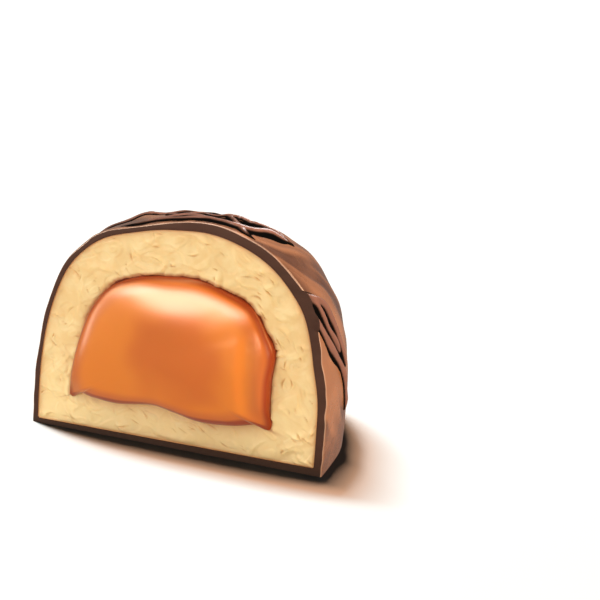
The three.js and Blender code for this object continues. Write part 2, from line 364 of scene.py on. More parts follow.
print("noise along a line:", along_noise(1, np.arange(5.0), 2).round(2))

# %% [markdown]
# ## Ripples of the coating
# Milk chocolate that sets while it runs keeps slanted runs, a sixth of a millimetre high. They are
# noise that is stretched down the dome and leans to one side. They fade out at the cut, where the
# knife's face shows a clean line. The same function later tells the strands what they lie on.

# %% Ripples of the coating
RIPPLE_FADE = 2.5
RUN_HEIGHT, SMALL_HEIGHT, SMALL_CELL = 0.17, 0.03, 2.3
SLANT, SWAY_ANGLE, SWAY_CELL = 0.7, 6, 16
RUN_CELL, FINE_CELL, FINE_SHARE, STRETCH = 6.5, 2.6, 0.35, 5
RUNS_BEGIN = (5, 25)


def runs(direction):
    """Where the coating ran down aslant, as heights between about -1 and 1."""
    round_ = np.degrees(np.arctan2(np.abs(direction[..., 1]), direction[..., 0]))
    up = np.degrees(np.arcsin(np.clip(direction[..., 2], 0, 1)))
    slanted = round_ + SLANT * up + SWAY_ANGLE * lattice(12, up, round_, SWAY_CELL)
    wide = lattice(11, slanted, up / STRETCH, RUN_CELL)
    wide = wide + FINE_SHARE * lattice(14, slanted, up / STRETCH, FINE_CELL)
    return wide * smooth_step(up, *RUNS_BEGIN) * np.cos(np.radians(up)) ** 0.5


def ripples(direction, place):
    """The runs and some small unevenness, as heights in millimetres."""
    x, y, z = np.moveaxis(place, -1, 0)
    small = lattice(13, x + 0.8 * y, z - 0.5 * y, SMALL_CELL)
    return behind_cut(y, RIPPLE_FADE) * (RUN_HEIGHT * runs(direction) + SMALL_HEIGHT * small)


def rippled_reach(direction):
    reach = outside_reach(direction)
    return reach + ripples(direction, place_of(direction, reach, OUTSIDE))


def from_middle(places):
    """Headings and distances of places, seen from the dome's middle."""
    seen = places + np.array([0, CUT_BEHIND_MIDDLE, 0])
    seen[:, 0] -= OUTSIDE["lean"] * np.abs(seen[:, 2])
    length = np.linalg.norm(seen, axis=1)
    return seen / length[:, None], length


def height_over(places):
    """How far places stand out of the coating."""
    direction, length = from_middle(places)
    return length - rippled_reach(direction)


# %% [markdown]
# ## Working as by hand
# Blender's operators act on whatever is selected, as a click in its window does. So these helpers
# first deselect everything and then select only what the next step is about. Each curved shape starts
# as a flat grid, because a vertex's row and column can be read from its place there. A ball is such a
# grid, rolled up until its first and last columns meet.

# %% Select, name and add
def start_fresh():
    bpy.ops.object.select_all(action="DESELECT")


def named(name):
    piece = bpy.context.object
    piece.name = piece.data.name = name
    return piece


def use(piece):
    start_fresh()
    bpy.context.view_layer.objects.active = piece
    piece.select_set(True)


def sheet_of(name, columns, rows):
    """A flat grid, and each vertex's column and row."""
    start_fresh()
    bpy.ops.mesh.primitive_grid_add(x_subdivisions=columns, y_subdivisions=rows, size=1)
    piece = named(name)
    places = read_places(piece)
    column = np.rint((places[:, 0] + 0.5) * columns).astype(int)
    row = np.rint((places[:, 1] + 0.5) * rows).astype(int)
    return piece, column, row


def ball_of(name, segments, rings):
    """A sheet to be rolled into a ball, and each vertex's segment and ring (0 is one pole)."""
    piece, column, ring = sheet_of(name, segments, rings)
    return piece, column % segments, ring


# %% Modifiers and Booleans
def apply_modifier(piece, kind, **settings):
    use(piece)
    modifier = piece.modifiers.new(kind.lower(), kind)
    for name, value in settings.items():
        setattr(modifier, name, value)
    bpy.ops.object.modifier_apply(modifier=modifier.name)


def cut_with(piece, tool, operation):
    """A Boolean with a tool that isn't needed afterwards."""
    apply_modifier(piece, "BOOLEAN", operation=operation, solver="MANIFOLD", object=tool)
    bpy.data.objects.remove(tool)


# %% Close and clean a mesh
SAME_PLACE = 5e-7


def close_face(piece, where):
    """Fills the open edge between the vertices that where(places in mm) picks, with one face."""
    use(piece)
    picked = where(from_cut(piece))
    bpy.ops.object.mode_set(mode="EDIT")
    bpy.ops.mesh.select_mode(type="VERT")
    bpy.ops.mesh.select_all(action="DESELECT")
    bpy.ops.object.mode_set(mode="OBJECT")
    piece.data.vertices.foreach_set("select", picked)
    bpy.ops.object.mode_set(mode="EDIT")
    bpy.ops.mesh.edge_face_add()
    bpy.ops.object.mode_set(mode="OBJECT")


def merge_doubles(piece):
    """Joins vertices at one place, such as those of a seam or pole, and turns faces outwards."""
    use(piece)
    bpy.ops.object.mode_set(mode="EDIT")
    bpy.ops.mesh.select_all(action="SELECT")
    bpy.ops.mesh.remove_doubles(threshold=SAME_PLACE)
    bpy.ops.mesh.normals_make_consistent(inside=False)
    bpy.ops.object.mode_set(mode="OBJECT")


# %% Mark and measure a mesh
def mark(piece, name, values):
    """Keeps one number for each vertex, which a material can read by its name."""
    attribute = piece.data.attributes.new(name, "FLOAT", "POINT")
    attribute.data.foreach_set("value", np.asarray(values, float))


def report(piece):
    flat = read_places(piece) / MM
    triangles = sum(len(p.vertices) - 2 for p in piece.data.polygons)
    print(piece.name, "from", flat.min(0).round(2), "to", flat.max(0).round(2), triangles, "triangles")


# %% [markdown]
# ## Milk coating: rows over the dome
# The coating's skin is a grid bent over the dome. Its rows lie in planes beside the cut and its
# columns run over the arch, so the first row is exactly the line that the knife left. A formula gives
# the dome's reach only from its middle, so a row's place is found by halving: a length that is still
# inside the dome is too short, and one outside is too long.

# %% Rows over the dome
FARTHEST, HALVINGS = 40.0, 44
COLUMNS, ROWS = 300, 176
NEAR_CUT = np.array([0, 0.02, 0.05, 0.09, 0.14, 0.2, 0.28, 0.38, 0.5])
PROFILE_STEPS, TOP_SHARE = 4000, 0.8


def longest(inside, like):
    """The longest lengths for which inside(lengths) still holds."""
    low, high = np.zeros_like(like), np.full_like(like, FARTHEST)
    for _ in range(HALVINGS):
        middle = (low + high) / 2
        free = inside(middle)
        low, high = np.where(free, middle, low), np.where(free, high, middle)
    return low


def slice_places(size, depth, arch):
    """The smooth dome at depths y behind the cut and angles over the arch."""
    flat = ((depth + CUT_BEHIND_MIDDLE) / size["depth"]).clip(0, 1) ** size["plan"]

    def inside(length):
        outline = np.abs(length * np.cos(arch) / size["half_width"]) ** size["plan"] + flat
        return (outline ** (size["squareness"] / size["plan"])
                + np.abs(length * np.sin(arch) / size["height"]) ** size["squareness"]) < 1

    length = longest(inside, depth)
    return np.stack([length * np.cos(arch), depth + CUT_BEHIND_MIDDLE, length * np.sin(arch)], axis=-1)


def row_depths(size, rows, near_cut):
    """Depths of the rows: some close behind the cut, the rest evenly spaced over the dome."""
    start, back = near_cut[-1] + CUT_BEHIND_MIDDLE, size["depth"]
    t = np.linspace(math.asin((start / back) ** (size["plan"] / 2)), math.pi / 2, PROFILE_STEPS)
    y, top = back * np.sin(t) ** (2 / size["plan"]), size["height"] * np.cos(t) ** (2 / size["plan"])
    run = np.concatenate([[0], np.cumsum(np.hypot(np.diff(y), TOP_SHARE * np.diff(top)))])
    even = np.interp(np.linspace(0, run[-1], rows - len(near_cut) + 2), run, y) - CUT_BEHIND_MIDDLE
    return np.concatenate([near_cut[:-1], even])


depths = row_depths(OUTSIDE, ROWS, NEAR_CUT)
print("the first rows lie at", depths[:4], "and the last at", depths[-1].round(2), "mm")

# %% [markdown]
# ## Milk coating: its skin
# The knife rounded and chipped the brittle edge, so the first rows are pulled in along a quarter
# circle whose size varies along the arch. Swellings, folds and ripples push the skin outwards, within
# the plane of the cut at first, so that the cut stays flat. The open front and floor are then filled
# with one face each, which makes a solid loaf that the hollow can be taken out of.

# %% Where the skin lies
EDGE_ROUND, EDGE_UNEVEN, EDGE_CELL = 0.14, 0.15, 7
CHIP_AT, CHIP_SPREAD, CHIP_SIZE = 23, 5, 0.16
WOBBLE, WOBBLE_CELL, WOBBLE_FADE = 0.05, 3.2, 1.5
TURN_OUTWARDS = (0.5, 5)
INSET_REACH = 1.1
TINY = 1e-9


def edge_size(arch):
    """How far the knife rounded or broke the coating's edge, along the arch."""
    degrees = np.degrees(arch)
    uneven = 0.5 + 0.5 * along_noise(21, degrees, EDGE_CELL)
    chip = CHIP_SIZE * np.exp(-(((degrees - CHIP_AT) / CHIP_SPREAD) ** 2))
    return EDGE_ROUND + EDGE_UNEVEN * uneven ** 2 + chip


def skin_places(arch, depth):
    """The coating's outside at angles over the arch and depths behind the cut."""
    flat = slice_places(OUTSIDE, depth, arch)
    direction = unit(flat)
    smooth = flat - np.array([0, CUT_BEHIND_MIDDLE, 0])
    smooth[..., 0] += OUTSIDE["lean"] * smooth[..., 2]
    wobble = WOBBLE * lattice(22, np.degrees(arch), depth, WOBBLE_CELL)
    wobble = wobble * np.exp(-((depth / WOBBLE_FADE) ** 2))
    amount = swelling(direction, smooth) + folds(direction, smooth)
    amount = amount + ripples(direction, smooth) + wobble
    within = np.array([1, 0, 1]) * direction
    along = unit(within + TINY) * np.linalg.norm(within, axis=-1, keepdims=True)
    blend = smooth_step(depth, *TURN_OUTWARDS)[..., None]
    moved = flat + amount[..., None] * ((1 - blend) * along + blend * direction)
    edge = edge_size(arch)
    inset = edge * (1 - np.sqrt(1 - np.clip(1 - depth / (INSET_REACH * edge), 0, 1) ** 2))
    moved = moved - inset[..., None] * unit(within + TINY)
    moved[..., 0] += OUTSIDE["lean"] * moved[..., 2]
    moved[..., 1] -= CUT_BEHIND_MIDDLE
    return moved


# %% Bend and close the skin
ON_PLANE = 1e-4

milk, column, row = sheet_of("milk_coating", COLUMNS, ROWS)
skin = skin_places(math.pi * column / COLUMNS, depths[row])
skin[row == 0, 1] = 0
skin[(column == 0) | (column == COLUMNS), 2] = 0
write_places(milk, in_scene(skin))
merge_doubles(milk)
close_face(milk, lambda places: places[:, 1] < ON_PLANE)
close_face(milk, lambda places: places[:, 2] < ON_PLANE)
merge_doubles(milk)
report(milk)

# %% [markdown]
# ## Milk coating: the hollow
# The hollow is the same kind of loaf, a little smaller and without the fine folds, which starts in
# front of the cut and stands on the chocolate base. A Boolean modifier takes it out of the first
# one, and the band that shows at the cut has the coating's real thickness. The hollow's wall is found
# by rays from the cream's middle, because the cream will need the same wall.

# %% The room inside
INSIDE = dict(half_width=15.3, depth=19.8, height=22.85, squareness=2.78, plan=2.85, lean=0.086)
INSIDE_SHIFT, INSIDE_SWELL = -0.1, 0.65
BASE_LEFT, BASE_RIGHT = 0.5, 0.8
CREAM_MIDDLE = np.array([0, 0, 9.5])


def inside_reach(direction, gap):
    """How far the room reaches, less a gap on all sides."""
    size = dict(INSIDE)
    for side in ("half_width", "depth", "height"):
        size[side] -= gap
    reach = reach_of(direction, size)
    return reach + INSIDE_SWELL * swelling(direction, place_of(direction, reach, size))


def base_top(x):
    """The chocolate base is thinner at the left."""
    return (BASE_LEFT + BASE_RIGHT) / 2 + x * (BASE_RIGHT - BASE_LEFT) / (2 * OUTSIDE["half_width"])


def wall_reach(rays, gap):
    """How far a ray from the cream's middle runs before it meets the coating."""
    def inside(length):
        place = CREAM_MIDDLE + rays * length[:, None]
        x = place[:, 0] - INSIDE_SHIFT - INSIDE["lean"] * np.abs(place[:, 2])
        seen = np.stack([x, place[:, 1] + CUT_BEHIND_MIDDLE, place[:, 2]], axis=-1)
        far = np.linalg.norm(seen, axis=1)
        under_dome = far < inside_reach(seen / far[:, None], gap)
        return under_dome & (place[:, 2] > base_top(place[:, 0]) + gap)

    return longest(inside, rays[:, 0])


def room_places(turn, tilt, gap=0.0):
    """Places on the room's wall: turn goes round the Y axis, tilt is 0 at the back."""
    rays = np.stack([np.sin(tilt) * np.cos(turn), np.cos(tilt), np.sin(tilt) * np.sin(turn)], axis=-1)
    return CREAM_MIDDLE + rays * wall_reach(rays, gap)[:, None]


# %% The hollow
HOLLOW_SEGMENTS, HOLLOW_RINGS = 480, 90
BROKEN_DEPTH, BROKEN_BEGINS = 0.09, (0.002, 0.02)
OUTER_SKIN = (-0.5, -0.4)

hollow, segment, ring = ball_of("hollow", HOLLOW_SEGMENTS, HOLLOW_RINGS)
room = room_places(segment / HOLLOW_SEGMENTS * 2 * np.pi, ring / HOLLOW_RINGS * np.pi)
write_places(hollow, in_scene(room))
merge_doubles(hollow)
report(hollow)
cut_with(milk, hollow, "DIFFERENCE")

skin = from_cut(milk)
depth = skin[:, 1]
# Marks the knife's chipped edge, where the finish paints a pale line as a painted highlight.
edge_highlight = np.exp(-((depth / BROKEN_DEPTH) ** 2)) * smooth_step(depth, *BROKEN_BEGINS)
mark(milk, "chipped_edge_highlight", edge_highlight * smooth_step(height_over(skin), *OUTER_SKIN))
# The runs also drive painted light: the finish paints their crests pale and their hollows dark.
mark(milk, "runs", 0.5 + 0.5 * runs(from_middle(skin)[0]))
report(milk)

# %% [markdown]
# ## Dark strands: their routes
# Melted dark chocolate was flung over the coating from a spoon, in loops that cross and run together.
# Each route is a row of corners, given as angles round the dome and up from its base, because a
# strand lies on the dome wherever it goes. A smooth curve runs through the corners. Thin wide films
# lie where strands run together.

# %% Routes of the strands
# Each row: width and height in mm, which ends thin out, and the corners in degrees.
STRANDS = [
    (0.95, 0.34, "end", [(8, 57), (13.9, 55.5), (19.3, 52.6), (24.7, 48.4), (27, 43.9), (29.2, 38.5),
                         (31.1, 32.5), (31.2, 27)]),
    (0.8, 0.34, "end", [(9, 56), (15, 53.2), (18.7, 50.8), (19.8, 48.4), (22.2, 43.8), (25.8, 38.3),
                        (28.6, 33)]),
    (1.05, 0.38, "end", [(8, 52), (12.9, 49.4), (16.3, 45.8), (19.8, 41.1), (23.7, 35.9), (27.7, 28.8),
                         (31, 20.5), (33.4, 13)]),
    (1.1, 0.3, "both", [(150, 70), (138, 73.5), (124, 75), (108, 74), (95, 72), (84, 70.5),
                        (73.5, 68.7), (64.7, 67), (56, 64.6), (50, 61.7), (43, 59)]),
    (1.05, 0.3, "both", [(139, 71.5), (128, 75), (116, 77), (103, 78), (90, 77.8), (74, 77), (61, 76),
                         (51, 74.5), (46, 72), (46, 69.5), (48.5, 66.5), (48.5, 64.2), (46, 62),
                         (43, 59)]),
    (1.0, 0.28, "start", [(92, 63), (84, 67), (75, 70), (66, 72), (53.5, 73.2), (43.7, 73.1),
                          (34, 72.3), (24, 70)]),
    (0.95, 0.28, "both", [(120, 69), (108, 72.5), (97, 74.8), (84, 76), (68, 77), (54, 76)]),
    (1.7, 0.45, "both", [(151, 15), (156, 34), (155, 48), (142, 57), (118, 60), (92, 59), (74, 52),
                         (63, 43), (58, 32)]),
    (1.6, 0.45, "both", [(150, 13), (145, 30), (136, 42), (118, 50), (98, 49), (84, 41), (77, 28),
                         (74, 12)]),
    (1.5, 0.42, "both", [(74, 10), (88, 25), (104, 33), (118, 30), (128, 16)]),
]
FILMS = [
    (3.2, 0.07, "end", [(8, 54), (15, 52), (18.5, 49.5), (20.5, 46), (22.5, 42), (25, 38), (27.3, 33.5),
                        (29.5, 28)]),
    (4.4, 0.07, "both", [(158, 68), (145, 73), (130, 76.3), (110, 77.6), (90, 77.6), (72, 76),
                         (60, 73.6), (52, 70), (47.5, 65.5), (44, 60)]),
]
print(len(STRANDS), "strands and", len(FILMS), "films")

# %% A smooth line through corners
SPAN_STEPS = 60


def smooth_line(points, count, closed=False):
    """Evenly spaced places on a smooth curve through the points, which never overshoots them far."""
    points = np.asarray(points, float)
    if closed:
        padded = np.concatenate([points[-1:], points, points[:2]])
    else:
        padded = np.concatenate([2 * points[:1] - points[1:2], points, 2 * points[-1:] - points[-2:-1]])
    s = np.linspace(0, 1, SPAN_STEPS, endpoint=False)[:, None]
    pieces = []
    for k in range(len(padded) - 3):
        p0, p1, p2, p3 = padded[k:k + 4]
        t01, t12, t23 = (max(np.linalg.norm(b - a), TINY) ** 0.5
                         for a, b in ((p0, p1), (p1, p2), (p2, p3)))
        m1 = (p1 - p0) / t01 - (p2 - p0) / (t01 + t12) + (p2 - p1) / t12
        m2 = (p2 - p1) / t12 - (p3 - p1) / (t12 + t23) + (p3 - p2) / t23
        m1, m2 = m1 * t12, m2 * t12
        pieces.append(p1 * (2 * s**3 - 3 * s**2 + 1) + m1 * (s**3 - 2 * s**2 + s)
                      + p2 * (-2 * s**3 + 3 * s**2) + m2 * (s**3 - s**2))
    line = np.concatenate(pieces + [padded[1:2] if closed else points[-1:]])
    run = np.concatenate([[0], np.cumsum(np.linalg.norm(np.diff(line, axis=0), axis=1))])
    even = np.linspace(0, run[-1], count + (1 if closed else 0))
    places = np.stack([np.interp(even, run, line[:, k]) for k in range(line.shape[1])], axis=-1)
    return places[:-1] if closed else places


# %% [markdown]
# ## Dark strands: rolling them
# A strand is a grid rolled into a tube along its route: half an ellipse over the coating, and a little
# below it, so that nothing gapes. Its width and height waver as a poured thread does, its ends thin
# out, and each vertex is draped on the rippled coating. The strands at the right are cut through and
# pressed flat at the cut. Those on the top dip under the coating just behind its edge.

# %% How a strand lies, thins and wavers
TAIL_SHARE, TAIL_TIP, ROUND_TIP = 0.2, 0.2, 0.5


def outward(direction):
    """The smooth dome's outward direction at headings."""
    small = 0.01

    def at(where):
        return place_of(where, reach_of(where, OUTSIDE), OUTSIDE)

    level = unit(np.stack([-direction[:, 1], direction[:, 0], 0 * direction[:, 0]], axis=-1))
    rise = unit(np.cross(direction, level))
    a = at(unit(direction + small * level)) - at(direction)
    b = at(unit(direction + small * rise)) - at(direction)
    return unit(np.cross(a, b))


def thinned(t, length, tails):
    """How full a strand is along its length: it thins out at its tails, and its tips are round."""
    def tail(share):
        return TAIL_TIP + (1 - TAIL_TIP) * np.sqrt(np.clip(share / TAIL_SHARE, 0, 1))

    size = np.minimum(1 if tails == "end" else tail(t), 1 if tails == "start" else tail(1 - t))
    to_tip = (1 - np.minimum(t, 1 - t) * length / ROUND_TIP).clip(0)
    return size * np.sqrt(np.clip(1 - to_tip ** 2, 0, 1))


def waver(seed, run, amount, cell):
    """How a measure wavers along the strand."""
    return amount * along_noise(seed, run, cell)


# %% Roll the strands
AROUND, STEP, MEAN_REACH = 28, 0.16, 22
ROOT, SUNK, FULL_HEIGHT = 0.5, 0.12, 1.3
WIDTH_WAVER, HEIGHT_WAVER, SWAY = (0.16, 2.6), (0.22, 2.1), (0.1, 2.9)
CUT_PRESS, CUT_PRESS_REACH = 0.4, 1.0
TOP_BEGINS = (60, 64)
EDGE_BARE, EDGE_DIP, EDGE_CLEAR = 0.35, 0.25, 0.15
FIRST_SEED, SEEDS_EACH = 100, 10


def roll(name, seed, width, height, tails, route):
    """One strand or film as a closed tube that follows its route over the coating."""
    corners = heading(*np.array(route, float).T)
    steps = int(np.linalg.norm(np.diff(corners, axis=0), axis=1).sum() * MEAN_REACH / STEP)
    tube, column, row = sheet_of(name, AROUND, steps)
    line = unit(smooth_line(corners, steps + 1))
    centre = outside_place(line)
    out = outward(line)
    side = unit(np.cross(unit(np.gradient(centre, axis=0)), out))

    t = np.linspace(0, 1, steps + 1)
    length = np.linalg.norm(np.diff(centre, axis=0), axis=1).sum()
    run = t * length
    size = thinned(t, length, tails) * (1 + waver(seed, run, *WIDTH_WAVER))
    lift = 1 + waver(seed + 1, run, *HEIGHT_WAVER)
    lift = lift * (1 - CUT_PRESS * np.exp(-((centre[:, 1] / CUT_PRESS_REACH) ** 2)))
    sway = waver(seed + 2, run, *SWAY)

    angle = 2 * np.pi * column / AROUND
    x, z = np.cos(angle), np.sin(angle)
    up = np.where(z > 0, z * (height * lift[row] + SUNK), z * ROOT)
    flat = centre[row] + side[row] * ((x * size[row] * width) / 2 + sway[row])[:, None]
    direction, _ = from_middle(flat)
    draped = place_of(direction, rippled_reach(direction), OUTSIDE)
    rise = up * np.minimum(1, FULL_HEIGHT * size[row]) - SUNK

    on_top = smooth_step(np.degrees(np.arctan2(draped[:, 2], draped[:, 0])), *TOP_BEGINS)
    dip = on_top * (z > 0) * np.exp(-((draped[:, 1].clip(0) / EDGE_BARE) ** 4))
    places = draped + out[row] * (rise - dip * (rise + EDGE_DIP))[:, None]
    places[:, 1] = np.where(on_top > 0.5, places[:, 1].clip(EDGE_CLEAR), places[:, 1])
    write_places(tube, in_scene(places))
    merge_doubles(tube)
    return tube


tubes = [roll(f"strand_{number}", FIRST_SEED + SEEDS_EACH * number, *strand)
         for number, strand in enumerate(STRANDS + FILMS)]
print("rolled", [len(tube.data.vertices) for tube in tubes], "vertices")

# %% [markdown]
# ## Dark strands: melting them together
# Where wet strands cross, they flow into each other. A voxel Remesh modifier wraps all tubes in one
# skin, and a few rounds of Smooth leave soft valleys where they met. A big block, which keeps what is
# behind the cut, then works as the knife. It stands a hair in front of the coating's face, so that the
# two brown faces never lie in one plane and flicker.

# %% Melt the strands into one body
VOXEL = 0.00013
BLOCK, KNIFE_GAP = 60, 0.006

start_fresh()
for tube in tubes:
    tube.select_set(True)
bpy.context.view_layer.objects.active = tubes[0]
bpy.ops.object.join()
strands = named("dark_strands")
apply_modifier(strands, "REMESH", mode="VOXEL", voxel_size=VOXEL)
apply_modifier(strands, "SMOOTH", factor=0.5, iterations=3)

start_fresh()
bpy.ops.mesh.primitive_cube_add(size=1)
knife = named("knife")
places = read_places(knife) * BLOCK
places[:, 1] += BLOCK / 2 - KNIFE_GAP
write_places(knife, in_scene(places))
cut_with(strands, knife, "INTERSECT")

# %% [markdown]
# ## Dark strands: marking the crests
# The finish will need to know how high each spot stands, because it paints the high crests brown as a
# painted highlight and keeps the thin film near black, partly as painted shade. The strands at the back
# and left are thicker, so their crests start higher. An attribute on the vertices carries such a number
# from the shape to the material.

# %% Mark the crests
THICK_BEGINS = (6, 8)
CREST_FROM, CREST_TO = (0.12, 0.12), (0.26, 0.22)
ON_COATING = 0.02

places = from_cut(strands)
thick = np.maximum(smooth_step(places[:, 1], *THICK_BEGINS), smooth_step(-places[:, 0], *THICK_BEGINS))
over = height_over(places)
start, end = (thin + more * thick for thin, more in (CREST_FROM, CREST_TO))
# The crest mark says where the finish paints a brown highlight on the strands.
mark(strands, "crest", smooth_step(over, start, end))
heights = np.percentile(over[over > ON_COATING], [10, 50, 90])
print("heights over the coating in mm:", heights.round(2))
report(strands)

# %% [markdown]
# ## Caramel: its outline
# The caramel is soft. Where the knife let it free it swells out of the cut and sags, with two pinched
# corners at its foot. The outline is a closed curve through the same points as in the CAD model. A
# blurred copy of it shapes the middle, because the small dents of the edge fade away inwards.

# %% Caramel's outline
CARAMEL_OUTLINE = [
    (-11.1, 3.8), (-10.7, 6.5), (-9.6, 10.3), (-8.2, 13.5), (-6, 16), (-2.9, 17.4), (0.3, 17.9),
    (3.5, 18), (6.6, 17.1), (8.9, 16), (10.3, 13.8), (11.1, 12), (10.7, 9.2), (10.5, 6.2), (10.5, 4.1),
    (9.3, 4.5), (7, 4.1), (3.7, 3.9), (1, 4.4), (-1.2, 4.8), (-5.7, 4.2), (-8.5, 4.4), (-10.1, 4.5),
]
CORNERS = [(-11.1, 3.8), (10.5, 4.1)]
CARAMEL_MIDDLE = np.array([0, 10.6])
SEGMENTS, BLUR_SHARE = 560, 0.055
SOFTEN = 20

edge_line = smooth_line(CARAMEL_OUTLINE, SEGMENTS, closed=True)
spread = int(BLUR_SHARE * SEGMENTS)
soft_line = sum(np.roll(edge_line, step, axis=0) for step in range(-spread, spread + 1))
soft_line = soft_line / (2 * spread + 1)
edge_run = np.roll(edge_line, -1, axis=0) - np.roll(edge_line, 1, axis=0)
edge_out = unit(np.stack([-edge_run[:, 1], edge_run[:, 0]], axis=-1))


def outline_at(segment, out, widen):
    """A place inside the outline: out is 1 on it and 0 in the middle."""
    share = (out ** 4)[:, None]
    edge = soft_line[segment] * (1 - share) + edge_line[segment] * share - CARAMEL_MIDDLE
    edge = edge + edge_out[segment] * np.broadcast_to(widen, out.shape)[:, None]
    return CARAMEL_MIDDLE + edge * out[:, None]


def softened(values, gain=0.0):
    """A running mean round the outline; gain is what the values grow by in one round."""
    padded = np.concatenate([values[-SOFTEN:] - gain, values, values[:SOFTEN] + gain])
    return np.convolve(padded, np.ones(2 * SOFTEN + 1) / (2 * SOFTEN + 1), "valid")


print("caramel from", edge_line.min(0).round(2), "to", edge_line.max(0).round(2), "at the cut")

# %% [markdown]
# ## Caramel: pressing the ball
# A ball's front is pressed into the outline. One rounding number says how it curves from the middle to
# the edge: above 2 it is full with a steep edge, and below 2 it slopes. The face slopes at the top,
# where the caramel sank, is fullest low down, and is drawn out thin at the corners. A shallow crease
# runs down the right. Behind the cut the ball is a plain bowl.

# %% Press the ball into shape
RINGS, FRONT_RINGS = 150, 110
CARAMEL_DEPTH, CARAMEL_BULGE = 11.4, 2.2
ROUND_TOP, ROUND_LOW, ROUND_BACK, ROUND_CORNER = 1.7, 3.0, 2.3, 1.5
BOWL_POWER = 2 / ROUND_BACK
CARAMEL_LAP = 0.2
FACES_UP, ROUND_BEGINS = (-0.1, 0.75), (0.1, 0.8)
PINCH_REACH, PINCH_BEGINS = 1.8, (0.72, 1)
CREASE_DEPTH, CREASE_X, CREASE_WIDTH = 0.35, 8.9, 0.8
CREASE_FOOT, CREASE_TOP = (4.5, 8), (12.5, 15)

caramel, segment, ring = ball_of("caramel_core", SEGMENTS, RINGS)
front = ring <= FRONT_RINGS
behind = 1 + (ring - FRONT_RINGS) / (RINGS - FRONT_RINGS)
angle = np.where(front, ring / FRONT_RINGS, behind) * np.pi / 2
out = np.abs(np.sin(angle)) ** BOWL_POWER
x, z = outline_at(segment, out, CARAMEL_LAP).T

upwards = softened(smooth_step(edge_out[:, 1], *FACES_UP))[segment]
at_edge = ROUND_LOW + (ROUND_TOP - ROUND_LOW) * upwards
pinched = np.max([np.exp(-((np.linalg.norm(edge_line[segment] - corner, axis=1) / PINCH_REACH) ** 2))
                  for corner in CORNERS], axis=0)
rounding = ROUND_BACK + (at_edge - ROUND_BACK) * smooth_step(out, *ROUND_BEGINS)
rounding = rounding + (ROUND_CORNER - rounding) * pinched * smooth_step(out, *PINCH_BEGINS)

arch = (1 - np.minimum(out, 1) ** rounding) ** (1 / rounding)
fullness = CARAMEL_BULGE * (1 + 0.05 * np.sin(0.5 * x + 1) + 0.03 * np.sin(0.9 * z))
crease = CREASE_DEPTH * np.exp(-(((x - CREASE_X) / CREASE_WIDTH) ** 2))
crease = crease * smooth_step(z, *CREASE_FOOT) * (1 - smooth_step(z, *CREASE_TOP))
swell = fullness * arch - crease * arch ** 0.5
back = CARAMEL_DEPTH * np.abs(np.cos(angle)) ** BOWL_POWER
write_places(caramel, in_scene(np.stack([x, np.where(front, -swell, back), z], axis=-1)))

# %% [markdown]
# ## Caramel: marking its rim
# Two numbers go with each vertex for the finish: "matte" is where the gloss ends, sooner at the top
# edge than below, and "rim" is how near the edge a spot is, which the finish uses for painted shade
# along the edge, widest along the foot.

# %% Mark the caramel's rim
MATTE_TOP, MATTE_LOW = (0.84, 0.98), (0.95, 1)
FOOT_BEGINS = (0.3, 0.9)
RIM_ALL, RIM_FOOT, RIM_BACK = 0.015, 0.075, 1.04

matte = smooth_step(out, *MATTE_TOP) * upwards + smooth_step(out, *MATTE_LOW) * (1 - upwards)
downward = smooth_step(-edge_out[segment, 1], *FOOT_BEGINS)
mark(caramel, "matte", np.where(front, matte, 1))
# The rim mark also says where the finish paints shade along the edge.
mark(caramel, "rim", np.where(front, out + RIM_ALL + RIM_FOOT * downward, RIM_BACK))
merge_doubles(caramel)
report(caramel)

# %% [markdown]
# ## Cream: tears of the knife
# The cream fills the coating and holds the caramel, and the knife dragged at its face. Broad waves
# and flaky terraces with crisp edges come from noise. Nicks and swipes are short strokes, each a dip
# with a raised flake beside it, thrown at random with a fixed seed and mostly turned one way.

# %% Relief of the torn face
BROAD, TERRACE, GRAIN = 0.08, 0.12, 0.01
BROAD_CELL, FLAKE_CELL, GRAIN_CELL = 3.1, 1.5, 0.5
WARP, WARP_CELL = 0.9, 2.2
TERRACE_STEPS, CRISP = 1.5, (0.75, 1.0)


def torn(x, z):
    """The face's relief in millimetres: broad waves, terraces with crisp edges, and grain."""
    warp = WARP * lattice(41, x, z, WARP_CELL)
    broad = lattice(42, x + warp, z - warp, BROAD_CELL)
    steps = TERRACE_STEPS * lattice(43, 0.8 * x + 0.6 * z + warp, z - 0.7 * x, FLAKE_CELL)
    terraces = (np.floor(steps) + smooth_step(steps - np.floor(steps), *CRISP)) / TERRACE_STEPS
    return BROAD * broad + TERRACE * terraces + GRAIN * lattice(44, x, z, GRAIN_CELL)


# %% Nicks and swipes
FACE_X, FACE_Z = (-16, 16), (0.5, 23)
TURN_SPREAD, MOST_BENT, TAPER = 38, 0.6, 1.5
FLAKE_BESIDE, FLAKE_WIDTH, STROKE_REACH = 1.9, 1.6, 2.6


def marks(seed, count, length, width, depth, turn):
    """Random strokes: place, turn, length, width, depth and bend."""
    draw = np.random.default_rng(seed)
    columns = [draw.uniform(*FACE_X, count), draw.uniform(*FACE_Z, count),
               np.radians(draw.normal(turn, TURN_SPREAD, count)), draw.uniform(*length, count),
               draw.uniform(*width, count), draw.uniform(*depth, count),
               draw.uniform(-MOST_BENT, MOST_BENT, count)]
    return np.stack(columns, axis=-1)


def strokes(x, z, rows, raised):
    """Short curved tears: a dip on one side and a raised flake on the other."""
    total = np.zeros_like(x)
    for mark_x, mark_z, turn, length, width, depth, bend in rows:
        dx, dz = x - mark_x, z - mark_z
        near = dx * dx + dz * dz < (STROKE_REACH * length) ** 2
        c, s = math.cos(turn), math.sin(turn)
        u, v = dx[near] * c + dz[near] * s, dz[near] * c - dx[near] * s
        v = v + bend * u * u
        dip = np.exp(-((v / width) ** 2))
        flake = np.exp(-(((v - FLAKE_BESIDE * width) / (FLAKE_WIDTH * width)) ** 2))
        total[near] -= depth * np.exp(-TAPER * (u / length) ** 2) * (dip - raised * flake)
    return total


